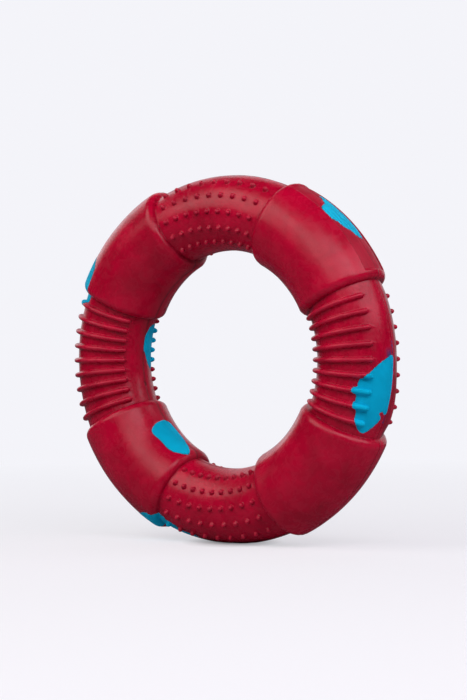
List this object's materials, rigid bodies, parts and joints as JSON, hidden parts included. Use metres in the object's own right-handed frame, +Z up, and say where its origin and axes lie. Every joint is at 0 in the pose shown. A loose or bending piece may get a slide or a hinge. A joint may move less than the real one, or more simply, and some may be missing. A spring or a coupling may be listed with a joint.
{
  "type": "rubber chew ring",
  "caption": "Hollow rubber chew ring for a dog, standing on its rim, with smooth raised sleeves between nubbed and ribbed sections and flush inlays of a second colour.",
  "frame": {"origin": "middle of the small flat that the ring stands on, straight below the ring's centre", "axes": "+Z up through the ring's centre; +Y along the ring's axis, from the front half to the rear half; +X to the right as seen from the front"},
  "size_m": [0.1446, 0.035, 0.144],
  "materials": {
    "red_rubber": "satin moulded natural rubber",
    "cyan_rubber": "satin moulded natural rubber"
  },
  "bodies": {
    "root": {"front_half": "red_rubber", "rear_half": "red_rubber", "panel_front_inlay": "cyan_rubber", "panel_rear_inlay": "cyan_rubber", "right_rib_inlay": "cyan_rubber", "lower_left_inlay": "cyan_rubber", "upper_left_inlay": "cyan_rubber", "left_nub_inlay": "cyan_rubber", "bottom_inlay": "cyan_rubber"}
  },
  "joints": []
}
